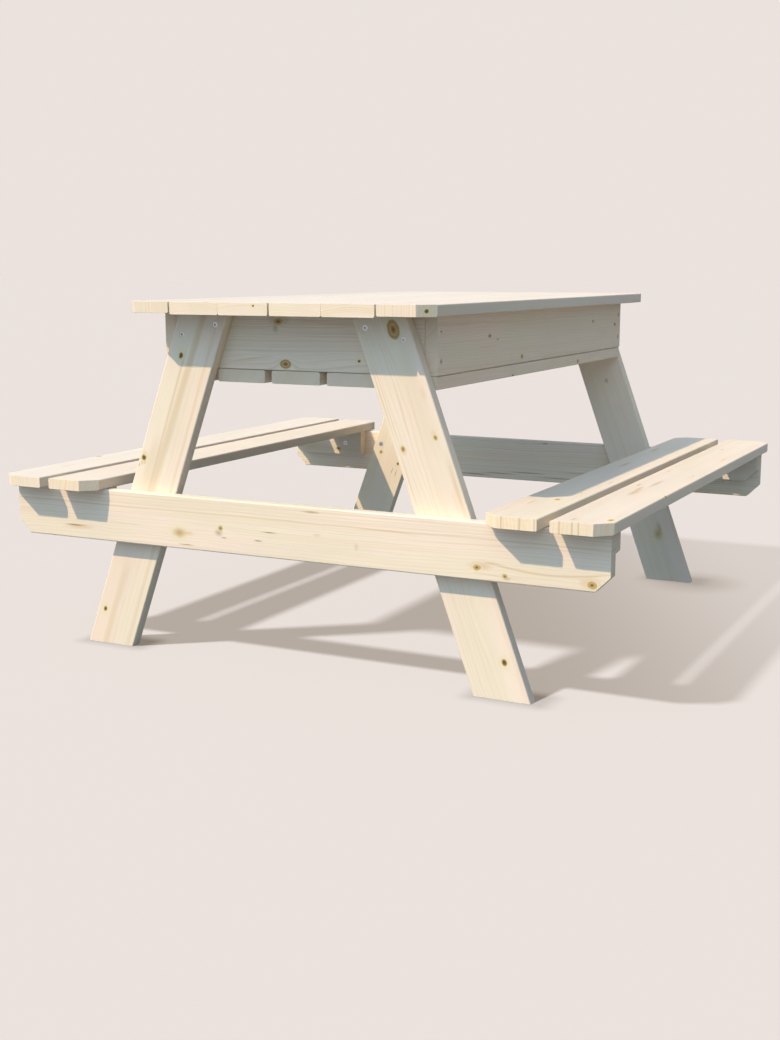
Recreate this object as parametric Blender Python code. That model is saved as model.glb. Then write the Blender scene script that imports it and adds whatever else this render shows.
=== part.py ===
"""Kids' picnic table with a play box under its lift-off lids.

Metres, +Z up. X runs from seat to seat and Y along the planks. The origin is on the floor under the
middle of the table, and the front is the -Y end. Every board is cut from planed softwood.
"""
from math import cos, pi, radians, sin, tan

import bmesh
import bpy
from mathutils import Matrix, Vector

# Heights and lengths of the whole table
TOP_HEIGHT = 0.500
SEAT_HEIGHT = 0.248
PLANK_LENGTH = 0.894
END_OVERHANG = 0.0675
SIDE_OVERHANG = 0.0217

# Timber sections
BOARD_WIDTH = 0.0745
FRAME_THICKNESS = 0.0175
PLANK_THICKNESS = 0.0153
LID_BOARD_WIDTH = 0.076
LID_THICKNESS = 0.017
ARRIS_RADIUS = 0.0020
ARRIS_STEPS = 2
CORNER_CUT = 0.020

# Gap between faces that touch, and the gap round a lid
FIT_GAP = 0.0003
LID_GAP = 0.0024

# Floor of the play box
FLOOR_INSET = 0.001
FLOOR_LEAST_GAP = 0.008

# Legs: tilt from upright, and how far the outer edge stands in from the box corner at the top
LEG_TILT = radians(20.0)
LEG_INSET = 0.035

# Seats
SEAT_LEG_CLEARANCE = 0.038
SEAT_PLANK_GAP = 0.016
SEAT_OVERHANG = 0.007
BATTEN_HEIGHT = 0.046
BATTEN_INSET = 0.005

# Battens under the lids and cleats under the fixed top planks
LID_BATTEN_WIDTH = 0.040
LID_BATTEN_THICKNESS = 0.0175
LID_BATTEN_INSET = 0.008
LID_CLEARANCE = 0.003
CLEAT_HEIGHT = 0.030
CLEAT_SETBACK = 0.060

# Countersunk wood screws with a star drive
SCREW_DIAMETER = 0.004
SCREW_HEAD_DIAMETER = 0.0084
SCREW_HEAD_SINK = 0.0004
SCREW_TIP_LENGTH = 0.004
SCREW_COVER = 0.0053
SCREW_EDGE_BITE = 0.0172
SCREW_SIDES = 12
DRIVE_DIAMETER = 0.0036
DRIVE_WAIST = 0.74
DRIVE_DEPTH = 0.0016
POCKET_OVERCUT = 0.001
POCKET_TIP_ROOM = 0.0009

# Places of the screws: their pairs' distances from board edges, and the step down within a pair
LEG_SCREW_DROP = 0.0214
LEG_SCREW_STEP = 0.0140
LEG_SCREW_EDGE = 0.0123
BEAM_SCREW_LEG_EDGE = 0.0195
BEAM_SCREW_BEAM_EDGE = 0.0210
CORNER_SCREW_BACK = 0.0060
CORNER_SCREW_EDGE = 0.0182

# Welding distance for points that meet, and the least angle that shows as an edge on a screw
WELD = 1e-6
EDGE_ANGLE = radians(35)

# Finishes: colour, roughness, metallic
PALE_PINE = ((0.80, 0.64, 0.44), 0.62, 0.0)
WARM_PINE = ((0.76, 0.57, 0.36), 0.66, 0.0)
RAW_PINE = ((0.72, 0.55, 0.36), 0.72, 0.0)
ZINC = ((0.62, 0.62, 0.60), 0.35, 1.0)

# Sides of the table
LEFT, RIGHT = -1, 1
FRONT, BACK = -1, 1
SIDE_NAMES = {LEFT: "left", RIGHT: "right"}
END_NAMES = {FRONT: "front", BACK: "back"}

# Directions
X_AXIS = Vector((1, 0, 0))
Y_AXIS = Vector((0, 1, 0))
Z_AXIS = Vector((0, 0, 1))

# Top: two lids side by side between two fixed planks
LID_WIDTH = 2 * LID_BOARD_WIDTH + FIT_GAP
LID_INNER_EDGE = LID_GAP / 2
LID_OUTER_EDGE = LID_INNER_EDGE + LID_WIDTH
TOP_PLANK_CENTRE = LID_OUTER_EDGE + LID_GAP + BOARD_WIDTH / 2
TOP_HALF_WIDTH = TOP_PLANK_CENTRE + BOARD_WIDTH / 2
LID_UNDERSIDE = TOP_HEIGHT - LID_THICKNESS
TOP_PLANK_UNDERSIDE = TOP_HEIGHT - PLANK_THICKNESS

# Box: outer faces of its four aprons, and its floor below them
BOX_HALF_WIDTH = TOP_HALF_WIDTH - SIDE_OVERHANG
BOX_HALF_LENGTH = PLANK_LENGTH / 2 - END_OVERHANG
END_APRON_TOP = LID_UNDERSIDE - FIT_GAP
SIDE_APRON_TOP = TOP_PLANK_UNDERSIDE - FIT_GAP
APRON_BOTTOM = END_APRON_TOP - BOARD_WIDTH
APRON_MIDDLE = (END_APRON_TOP + APRON_BOTTOM) / 2
END_APRON_LENGTH = 2 * (BOX_HALF_WIDTH - FRAME_THICKNESS - FIT_GAP)
FLOOR_TOP = APRON_BOTTOM - FIT_GAP
FLOOR_WIDTH = 2 * (BOX_HALF_WIDTH - FLOOR_INSET)
FLOOR_COUNT = int((FLOOR_WIDTH + FLOOR_LEAST_GAP) // (BOARD_WIDTH + FLOOR_LEAST_GAP))
FLOOR_PITCH = (FLOOR_WIDTH - BOARD_WIDTH) / (FLOOR_COUNT - 1)

# Layers outside the box, end by end: legs and seat battens, then beams
LEG_LAYER = BOX_HALF_LENGTH + FIT_GAP + FRAME_THICKNESS / 2
BEAM_LAYER = LEG_LAYER + FRAME_THICKNESS + FIT_GAP
LEG_INNER_FACE = LEG_LAYER - FRAME_THICKNESS / 2
LEG_OUTER_FACE = LEG_LAYER + FRAME_THICKNESS / 2
LEG_HALF_RUN = BOARD_WIDTH / 2 / cos(LEG_TILT)

# Seats: boards rest on the beams and battens, clear of the legs
SEAT_UNDERSIDE = SEAT_HEIGHT - PLANK_THICKNESS
BEAM_TOP = SEAT_UNDERSIDE - FIT_GAP
BEAM_MIDDLE = BEAM_TOP - BOARD_WIDTH / 2
BATTEN_MIDDLE = BEAM_TOP - BATTEN_HEIGHT / 2


def leg_centre(height):
    """Distance of a leg's centre line from the table's middle plane at a height."""
    at_top = BOX_HALF_WIDTH - LEG_INSET - LEG_HALF_RUN
    return at_top + (END_APRON_TOP - height) * tan(LEG_TILT)


SEAT_INNER_EDGE = leg_centre(SEAT_HEIGHT) + LEG_HALF_RUN + SEAT_LEG_CLEARANCE
SEAT_OUTER_PLANK_EDGE = SEAT_INNER_EDGE + BOARD_WIDTH + SEAT_PLANK_GAP
SEAT_OUTER_EDGE = SEAT_OUTER_PLANK_EDGE + BOARD_WIDTH
BEAM_HALF_LENGTH = SEAT_OUTER_EDGE - SEAT_OVERHANG
BATTEN_INNER_END = SEAT_INNER_EDGE + BATTEN_INSET
BATTEN_LENGTH = BEAM_HALF_LENGTH - BATTEN_INNER_END
BATTEN_CENTRE = BATTEN_INNER_END + BATTEN_LENGTH / 2

# Screws that pass one board and stop short of the far face of the next, or bite into its end
FRAME_SCREW_LENGTH = 2 * FRAME_THICKNESS + FIT_GAP - SCREW_COVER
EDGE_SCREW_LENGTH = FRAME_THICKNESS + FIT_GAP + SCREW_EDGE_BITE

# Cleats inside the side aprons, and battens under the lids
CLEAT_CENTRE = BOX_HALF_WIDTH - FRAME_THICKNESS * 1.5 - FIT_GAP
CLEAT_MIDDLE = SIDE_APRON_TOP - CLEAT_HEIGHT / 2
CLEAT_LENGTH = 2 * (BOX_HALF_LENGTH - FRAME_THICKNESS - CLEAT_SETBACK)
LID_BATTEN_MIDDLE = LID_UNDERSIDE - FIT_GAP - LID_BATTEN_THICKNESS / 2
LID_BATTEN_PLACE = BOX_HALF_LENGTH - FRAME_THICKNESS - LID_CLEARANCE - LID_BATTEN_WIDTH / 2
LID_BATTEN_LENGTH = LID_WIDTH - 2 * LID_BATTEN_INSET
LID_CENTRE = (LID_INNER_EDGE + LID_OUTER_EDGE) / 2


def finish(name, look):
    """One Principled material with its own colour, roughness and metallic value."""
    colour, roughness, metallic = look
    material = bpy.data.materials.new(name)
    material.use_nodes = True
    shader = material.node_tree.nodes["Principled BSDF"]
    shader.inputs["Base Color"].default_value = (*colour, 1.0)
    shader.inputs["Roughness"].default_value = roughness
    shader.inputs["Metallic"].default_value = metallic
    material.diffuse_color = (*colour, 1.0)
    return material


def holder(name, place):
    """Empty that carries the pieces of one body."""
    empty = bpy.data.objects.new(name, None)
    empty.location = place
    empty.empty_display_size = 0.05
    bpy.context.collection.objects.link(empty)
    return empty


def add_object(name, bm, parent):
    """Turn a bmesh into a named object under its holder."""
    mesh = bpy.data.meshes.new(name)
    bmesh.ops.recalc_face_normals(bm, faces=bm.faces)
    bm.to_mesh(mesh)
    bm.free()
    piece = bpy.data.objects.new(name, mesh)
    piece.parent = parent
    bpy.context.collection.objects.link(piece)
    return piece


def section_outline(width, thickness):
    """Corner points of a planed section, its four arrises rounded over."""
    points = []
    for quarter in range(4):
        start = quarter * pi / 2
        side_x = 1 if quarter in (0, 3) else -1
        side_z = 1 if quarter in (0, 1) else -1
        centre_x = side_x * (width / 2 - ARRIS_RADIUS)
        centre_z = side_z * (thickness / 2 - ARRIS_RADIUS)
        for step in range(ARRIS_STEPS + 1):
            turn = start + step * pi / 2 / ARRIS_STEPS
            points.append((centre_x + ARRIS_RADIUS * cos(turn), centre_z + ARRIS_RADIUS * sin(turn)))
    return points


def saw(bm, point, normal):
    """Saw off what lies beyond a plane and close the cut."""
    everything = bm.verts[:] + bm.edges[:] + bm.faces[:]
    cut = bmesh.ops.bisect_plane(bm, geom=everything, dist=WELD, plane_co=point, plane_no=normal,
                                 clear_outer=True)
    edges = [part for part in cut["geom_cut"] if isinstance(part, bmesh.types.BMEdge)]
    bmesh.ops.holes_fill(bm, edges=edges, sides=0)


def board(name, section, length, place, along, across, parent, look, corners=(), cuts=()):
    """Board with its length along one direction and its width across another.

    corners lists (across side, along end) pairs that lose a 45 degree triangle, and cuts lists saw
    cuts as (point, normal) from the board's centre in the table's directions.
    """
    width, thickness = section
    bm = bmesh.new()
    outline = [bm.verts.new((x, -length / 2, z)) for x, z in section_outline(width, thickness)]
    end = bm.faces.new(outline)
    grown = bmesh.ops.extrude_face_region(bm, geom=[end])
    moved = [part for part in grown["geom"] if isinstance(part, bmesh.types.BMVert)]
    bmesh.ops.translate(bm, verts=moved, vec=(0, length, 0))
    for side, far in corners:
        point = Vector((side * (width - CORNER_CUT) / 2, far * (length - CORNER_CUT) / 2, 0))
        saw(bm, point, Vector((side, far, 0)).normalized())
    turn = Matrix((across, along, across.cross(along))).transposed()
    for point, normal in cuts:
        saw(bm, turn.transposed() @ point, turn.transposed() @ normal)
    piece = add_object(name, bm, parent)
    piece.location = Vector(place) - parent.location
    piece.rotation_euler = turn.to_euler()
    piece.data.materials.append(finish(name + "_wood", look))
    return piece


def screw_profile(length):
    """Half outline of a countersunk screw from the rim of its head to its tip, as (radius, depth)."""
    head, shank = SCREW_HEAD_DIAMETER / 2, SCREW_DIAMETER / 2
    return [(head, SCREW_HEAD_SINK), (shank, SCREW_HEAD_SINK + head - shank),
            (shank, length - SCREW_TIP_LENGTH), (0, length)]


def pocket_profile(length):
    """Half outline of a screw's pocket, a fit gap wider all along and open at the surface."""
    head, shank = SCREW_HEAD_DIAMETER / 2 + FIT_GAP, SCREW_DIAMETER / 2 + FIT_GAP
    cone_top = SCREW_HEAD_SINK + FIT_GAP * tan(pi / 8)
    return [(head, -POCKET_OVERCUT), (head, cone_top), (shank, cone_top + head - shank),
            (shank, length - SCREW_TIP_LENGTH), (0, length + POCKET_TIP_ROOM)]


def turned(profile):
    """Solid turned about Z from a half outline, and the flat face that closes its wide end."""
    bm = bmesh.new()
    rows = [bm.verts.new((radius, 0, depth)) for radius, depth in profile]
    edges = [bm.edges.new(pair) for pair in zip(rows, rows[1:])]
    bmesh.ops.spin(bm, geom=rows + edges, axis=Z_AXIS, cent=(0, 0, 0), angle=2 * pi, steps=SCREW_SIDES,
                   use_merge=True)
    bmesh.ops.remove_doubles(bm, verts=bm.verts, dist=WELD)
    rim = [edge for edge in bm.edges if edge.is_boundary]
    cap = bmesh.ops.contextual_create(bm, geom=rim)["faces"][0]
    bmesh.ops.recalc_face_normals(bm, faces=bm.faces)
    return bm, cap


def screw_mesh(name, length):
    """Screw with its head at the origin, its tip along +Z and a star recess in its head."""
    bm, cap = turned(screw_profile(length))
    bmesh.ops.inset_individual(bm, faces=[cap], thickness=(SCREW_HEAD_DIAMETER - DRIVE_DIAMETER) / 2)
    for index, corner in enumerate(cap.verts):
        if index % 2:
            corner.co.xy *= DRIVE_WAIST
    recess = bmesh.ops.extrude_discrete_faces(bm, faces=[cap])["faces"]
    bmesh.ops.translate(bm, verts=recess[0].verts, vec=(0, 0, DRIVE_DEPTH))
    mesh = bpy.data.meshes.new(name)
    bm.to_mesh(mesh)
    bm.free()
    mesh.shade_smooth()
    mesh.set_sharp_from_angle(angle=EDGE_ANGLE)
    mesh.materials.append(finish(name + "_zinc", ZINC))
    return mesh


def screws(kind, seats, length, parent, hosts):
    """Screws of one kind, and the pockets that seat them in the boards that they join.

    seats maps each screw's name to its head's place on a surface and the way that its tip points.
    """
    mesh = screw_mesh(kind, length)
    cutter = bmesh.new()
    pocket, _ = turned(pocket_profile(length))
    pocket_mesh = bpy.data.meshes.new(kind + "_pocket")
    pocket.to_mesh(pocket_mesh)
    pocket.free()
    for name, (place, direction) in seats.items():
        turn = direction.to_track_quat("Z", "Y")
        screw = bpy.data.objects.new(name, mesh)
        screw.parent = parent
        screw.location = place
        screw.rotation_euler = turn.to_euler()
        bpy.context.collection.objects.link(screw)
        before = len(cutter.verts)
        cutter.from_mesh(pocket_mesh)
        cutter.verts.ensure_lookup_table()
        placed = Matrix.Translation(place) @ turn.to_matrix().to_4x4()
        bmesh.ops.transform(cutter, matrix=placed, verts=cutter.verts[before:])
    bpy.data.meshes.remove(pocket_mesh)
    pockets = add_object(kind + "_pockets", cutter, parent)
    pockets.hide_render = True
    pockets.display_type = "WIRE"
    for host in hosts:
        cut = host.modifiers.new(kind + "_pockets", "BOOLEAN")
        cut.operation = "DIFFERENCE"
        cut.solver = "EXACT"
        cut.object = pockets


def side_ends():
    """Every pairing of a side with an end, as for the four legs."""
    return [(side, end) for end in (FRONT, BACK) for side in (LEFT, RIGHT)]


def make_top_planks(frame):
    """Two fixed planks along the table's sides, their outer corners cut off."""
    for side in (LEFT, RIGHT):
        board("top_plank_" + SIDE_NAMES[side], (BOARD_WIDTH, PLANK_THICKNESS), PLANK_LENGTH,
              (side * TOP_PLANK_CENTRE, 0, TOP_HEIGHT - PLANK_THICKNESS / 2), Y_AXIS, X_AXIS, frame,
              PALE_PINE, corners=[(side, FRONT), (side, BACK)])


def make_aprons(frame):
    """Side aprons run the full length, and the end aprons stand between them."""
    aprons = []
    height = SIDE_APRON_TOP - APRON_BOTTOM
    for side in (LEFT, RIGHT):
        across = side * (BOX_HALF_WIDTH - FRAME_THICKNESS / 2)
        aprons.append(board("apron_" + SIDE_NAMES[side], (height, FRAME_THICKNESS), 2 * BOX_HALF_LENGTH,
                            (across, 0, SIDE_APRON_TOP - height / 2), Y_AXIS, Z_AXIS, frame, RAW_PINE))
    for end in (FRONT, BACK):
        along = end * (BOX_HALF_LENGTH - FRAME_THICKNESS / 2)
        aprons.append(board("apron_" + END_NAMES[end], (BOARD_WIDTH, FRAME_THICKNESS), END_APRON_LENGTH,
                            (0, along, END_APRON_TOP - BOARD_WIDTH / 2), X_AXIS, Z_AXIS, frame, RAW_PINE))
    return aprons


def make_floor(frame):
    """Slatted floor of the play box, spread evenly under the aprons."""
    first = (BOARD_WIDTH - FLOOR_WIDTH) / 2
    for index in range(FLOOR_COUNT):
        board(f"floor_board_{index + 1}", (BOARD_WIDTH, FRAME_THICKNESS), 2 * BOX_HALF_LENGTH,
              (first + index * FLOOR_PITCH, 0, FLOOR_TOP - FRAME_THICKNESS / 2), Y_AXIS, X_AXIS, frame,
              RAW_PINE)


def make_legs(frame):
    """Splayed legs on the end aprons, sawn level at the floor and under the top."""
    legs = []
    middle = END_APRON_TOP / 2
    blank = END_APRON_TOP / cos(LEG_TILT) + 2 * BOARD_WIDTH
    for side, end in side_ends():
        up = Vector((-side * sin(LEG_TILT), 0, cos(LEG_TILT)))
        across = Vector((cos(LEG_TILT), 0, side * sin(LEG_TILT)))
        centre = Vector((side * leg_centre(middle), end * LEG_LAYER, middle))
        cuts = []
        for height, normal in ((END_APRON_TOP, Z_AXIS), (0.0, -Z_AXIS)):
            point = Vector((side * leg_centre(height), end * LEG_LAYER, height)) - centre
            cuts.append((point, normal))
        legs.append(board(f"leg_{END_NAMES[end]}_{SIDE_NAMES[side]}", (BOARD_WIDTH, FRAME_THICKNESS), blank,
                          centre, up, across, frame, WARM_PINE, cuts=cuts))
    return legs


def make_beams(frame):
    """Cross beams on the outside of the legs, their lower corners cut off."""
    return [board("beam_" + END_NAMES[end], (BOARD_WIDTH, FRAME_THICKNESS), 2 * BEAM_HALF_LENGTH,
                  (0, end * BEAM_LAYER, BEAM_MIDDLE), X_AXIS, Z_AXIS, frame, WARM_PINE,
                  corners=[(-1, LEFT), (-1, RIGHT)])
            for end in (FRONT, BACK)]


def make_seat_battens(frame):
    """Battens behind the beam ends, in line with the legs, that widen the seats' bearing."""
    for side, end in side_ends():
        board(f"seat_batten_{END_NAMES[end]}_{SIDE_NAMES[side]}", (BATTEN_HEIGHT, FRAME_THICKNESS),
              BATTEN_LENGTH, (side * BATTEN_CENTRE, end * LEG_LAYER, BATTEN_MIDDLE), X_AXIS, Z_AXIS, frame,
              RAW_PINE, corners=[(-1, side)])


def make_seats(frame):
    """Two planks a seat, with the corners of each pair cut off all round."""
    rows = (("inner", SEAT_INNER_EDGE, -1), ("outer", SEAT_OUTER_PLANK_EDGE, 1))
    for side in (LEFT, RIGHT):
        for row, edge, outward in rows:
            board(f"seat_{SIDE_NAMES[side]}_{row}_plank", (BOARD_WIDTH, PLANK_THICKNESS), PLANK_LENGTH,
                  (side * (edge + BOARD_WIDTH / 2), 0, SEAT_HEIGHT - PLANK_THICKNESS / 2), Y_AXIS, X_AXIS,
                  frame, PALE_PINE, corners=[(side * outward, FRONT), (side * outward, BACK)])


def make_cleats(frame):
    """Cleats inside the side aprons that hold the fixed top planks from below."""
    for side in (LEFT, RIGHT):
        board("top_cleat_" + SIDE_NAMES[side], (CLEAT_HEIGHT, FRAME_THICKNESS), CLEAT_LENGTH,
              (side * CLEAT_CENTRE, 0, CLEAT_MIDDLE), Y_AXIS, Z_AXIS, frame, RAW_PINE)


def make_lid(side):
    """Lift-off lid of two boards on two battens that drop inside the box."""
    name = "lid_" + SIDE_NAMES[side]
    lift = holder(name + "_lift", (side * LID_CENTRE, 0, LID_UNDERSIDE))
    for row, offset in (("inner", 0), ("outer", LID_BOARD_WIDTH + FIT_GAP)):
        across = side * (LID_INNER_EDGE + offset + LID_BOARD_WIDTH / 2)
        board(f"{name}_{row}_board", (LID_BOARD_WIDTH, LID_THICKNESS), PLANK_LENGTH,
              (across, 0, TOP_HEIGHT - LID_THICKNESS / 2), Y_AXIS, X_AXIS, lift, PALE_PINE)
    for end in (FRONT, BACK):
        board(f"{name}_{END_NAMES[end]}_batten", (LID_BATTEN_WIDTH, LID_BATTEN_THICKNESS),
              LID_BATTEN_LENGTH, (side * LID_CENTRE, end * LID_BATTEN_PLACE, LID_BATTEN_MIDDLE), X_AXIS,
              Y_AXIS, lift, RAW_PINE)


def join_legs(frame, legs, beams, aprons):
    """Two screws through each leg into the end apron, and two more into the beam."""
    shown, inner = {}, {}
    apron_height = END_APRON_TOP - LEG_SCREW_DROP
    apron_spread = LEG_HALF_RUN - LEG_SCREW_EDGE
    beam_spread = LEG_HALF_RUN - BEAM_SCREW_LEG_EDGE
    beam_step = BOARD_WIDTH / 2 - BEAM_SCREW_BEAM_EDGE
    for side, end in side_ends():
        corner = f"{END_NAMES[end]}_{SIDE_NAMES[side]}"
        for number, step in ((1, -1), (2, 1)):
            across = leg_centre(apron_height) + step * apron_spread
            height = apron_height - step * LEG_SCREW_STEP / 2
            place = Vector((side * across, end * LEG_OUTER_FACE, height))
            shown[f"leg_screw_{corner}_{number}"] = (place, -end * Y_AXIS)
            across = leg_centre(BEAM_MIDDLE) + step * beam_spread
            place = Vector((side * across, end * LEG_INNER_FACE, BEAM_MIDDLE + step * beam_step))
            inner[f"beam_screw_{corner}_{number}"] = (place, end * Y_AXIS)
    screws("leg_screw", shown, FRAME_SCREW_LENGTH, frame, legs + aprons)
    screws("beam_screw", inner, FRAME_SCREW_LENGTH, frame, legs + beams)


def join_box(frame, aprons):
    """Two screws through each end of a side apron into the end apron."""
    seats = {}
    along = BOX_HALF_LENGTH - FRAME_THICKNESS + CORNER_SCREW_BACK
    spread = BOARD_WIDTH / 2 - CORNER_SCREW_EDGE
    for side, end in side_ends():
        for number, step in ((1, -1), (2, 1)):
            place = Vector((side * BOX_HALF_WIDTH, end * along, APRON_MIDDLE + step * spread))
            seats[f"corner_screw_{END_NAMES[end]}_{SIDE_NAMES[side]}_{number}"] = (place, -side * X_AXIS)
    screws("corner_screw", seats, EDGE_SCREW_LENGTH, frame, aprons)


def main():
    """Build the table in an emptied scene."""
    for old in list(bpy.data.objects):
        bpy.data.objects.remove(old, do_unlink=True)
    frame = holder("frame", (0, 0, 0))
    aprons = make_aprons(frame)
    legs = make_legs(frame)
    beams = make_beams(frame)
    make_top_planks(frame)
    make_floor(frame)
    make_seat_battens(frame)
    make_seats(frame)
    make_cleats(frame)
    for side in (LEFT, RIGHT):
        make_lid(side)
    join_legs(frame, legs, beams, aprons)
    join_box(frame, aprons)


main()
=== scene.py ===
"""Kids picnic table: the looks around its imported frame, laid out as a Blender add-on."""

import random
from math import atan2, cos, pi, radians, sin
from typing import NamedTuple

import bmesh
import bpy
from bpy.props import FloatProperty, FloatVectorProperty, PointerProperty
from mathutils import Matrix, Vector


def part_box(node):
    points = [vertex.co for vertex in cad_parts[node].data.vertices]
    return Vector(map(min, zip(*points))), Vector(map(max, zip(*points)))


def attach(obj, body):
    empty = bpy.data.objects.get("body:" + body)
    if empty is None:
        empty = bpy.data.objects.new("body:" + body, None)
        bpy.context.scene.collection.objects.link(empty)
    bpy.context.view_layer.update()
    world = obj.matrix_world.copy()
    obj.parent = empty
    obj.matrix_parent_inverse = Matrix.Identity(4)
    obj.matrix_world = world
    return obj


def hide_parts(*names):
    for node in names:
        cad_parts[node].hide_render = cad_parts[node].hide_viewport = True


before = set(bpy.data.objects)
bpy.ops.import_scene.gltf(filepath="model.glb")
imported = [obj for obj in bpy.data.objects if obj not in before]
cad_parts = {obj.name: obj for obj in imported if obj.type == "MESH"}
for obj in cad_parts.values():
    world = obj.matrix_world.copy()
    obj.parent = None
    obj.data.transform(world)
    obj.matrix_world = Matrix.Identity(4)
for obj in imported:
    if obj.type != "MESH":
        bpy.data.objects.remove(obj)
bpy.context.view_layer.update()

bl_info = {
    "name": "Kids picnic table",
    "version": (1, 0, 0),
    "blender": (4, 5, 0),
    "location": "View3D > Sidebar > Picnic table",
    "description": "Boards, screws and stage of a small spruce picnic table with two lift-off lids",
    "category": "Object",
}

MM = 0.001
WELD = 1e-6
LEG_TILT = radians(20)
X_AXIS, Y_AXIS, Z_AXIS = Vector((1, 0, 0)), Vector((0, 1, 0)), Vector((0, 0, 1))


# Settings a user would change.

def colour(name, description, default, high=1):
    return FloatVectorProperty(
        name=name, description=description, subtype="COLOR", default=default, min=0, max=high)


def amount(name, description, default, low, high, unit="NONE"):
    return FloatProperty(name=name, description=description, default=default, min=low, max=high, unit=unit)


class WoodSettings(bpy.types.PropertyGroup):
    pale: colour("Pale wood", "Early wood of the planed boards", (0.845, 0.712, 0.553))
    honey: colour("Honey bands", "Broad bands of darker growth", (0.785, 0.595, 0.375))
    late: colour("Ring lines", "Late wood at the end of each ring", (0.600, 0.420, 0.235))
    # The plank tones are darker than the other boards' tones: painted shade for the strong light on the tops, with
    # the planks' sides and ends painted lighter again.
    plank_pale: colour("Pale plank wood", "Early wood of tabletop and seats", (0.637, 0.582, 0.513))
    plank_honey: colour("Plank bands", "Bands of tabletop and seats", (0.590, 0.500, 0.400))
    knot: colour("Knots", "Body of a sound knot", (0.545, 0.310, 0.080))
    knot_rim: colour("Knot rims", "Bark ring and pith of a knot", (0.075, 0.044, 0.015))
    halo: colour("Knot halos", "Yellow wood round a knot", (0.760, 0.660, 0.350))
    ease: amount("Eased ends", "Rounding of the sawn ends", 0.00035, 0.0001, 0.0015, "LENGTH")
    relief: amount("Grain relief", "Height of the grain under the hand", 0.00012, 0, 0.0005, "LENGTH")


class ScrewSettings(bpy.types.PropertyGroup):
    head: amount("Head", "Diameter of a countersunk head", 0.0084, 0.006, 0.010, "LENGTH")
    drive: amount("Drive", "Diameter of the six-lobe recess", 0.0033, 0.002, 0.005, "LENGTH")
    shank: amount("Shank", "Diameter of the shank", 0.0040, 0.002, 0.005, "LENGTH")
    sink: amount("Sink", "How deep a head lies in its pocket", 0.0004, 0, 0.002, "LENGTH")
    zinc: colour("Zinc", "Colour of the plating", (0.500, 0.530, 0.580))


class StageSettings(bpy.types.PropertyGroup):
    backdrop: colour("Backdrop", "Colour of the floor and the backdrop", (0.831, 0.761, 0.723))
    shadow_depth: colour("Shadow depth", "How much of the floor's colour its shadow takes", (0.357, 0.341, 0.347))
    bounce: colour("Bounce", "How much light the floor throws back", (0.135, 0.157, 0.175))
    key_level: amount("Key level", "What the key light adds to a surface facing it", 1.220, 0, 4)
    floor_level: amount(
        "Floor level", "What the key light adds to the floor, far more than the soft light does", 12.0, 1, 50)
    key_tone: colour("Key tone", "Colour of the key light", (1.0, 0.810, 0.600))
    key_spread: amount(
        "Key spread", "Angle of the key light on the table", radians(1.0), 0, radians(30), "ROTATION")
    floor_spread: amount(
        "Floor spread", "Angle of the key light on the floor, which softens its shadow", radians(4.0),
        0, radians(30), "ROTATION")
    fill_tone: colour("Fill tone", "Colour of the soft light from all round", (0.72, 1.0, 1.36), 2)
    fill_low: amount("Fill low", "Soft light from near the floor", 0.42, 0, 2)
    fill_high: amount("Fill high", "Soft light from overhead", 1.07, 0, 2)
    fill_side: amount("Fill side", "How much stronger the soft light is from the front left", 0.92, 0, 1)


# Shader maths.

class Value:
    """A socket of a finish, with arithmetic: an expression on values adds its Math nodes."""

    def __init__(self, finish, socket):
        self.finish = finish
        self.socket = socket

    def maths(self, operation, *values):
        return self.finish.node("ShaderNodeMath", {"operation": operation}, dict(enumerate(values)))

    def __add__(self, other):
        return self.maths("ADD", self, other)

    __radd__ = __add__

    def __sub__(self, other):
        return self.maths("SUBTRACT", self, other)

    def __rsub__(self, other):
        return self.maths("SUBTRACT", other, self)

    def __mul__(self, other):
        return self.maths("MULTIPLY", self, other)

    __rmul__ = __mul__

    def __truediv__(self, other):
        return self.maths("DIVIDE", self, other)

    def __abs__(self):
        return self.maths("ABSOLUTE", self)

    def smooth(self, low, high):
        """0 below low, 1 above high, and smooth between."""
        return self.finish.node(
            "ShaderNodeMapRange", {"interpolation_type": "SMOOTHSTEP"},
            {"Value": self, "From Min": low, "From Max": high})


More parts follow.
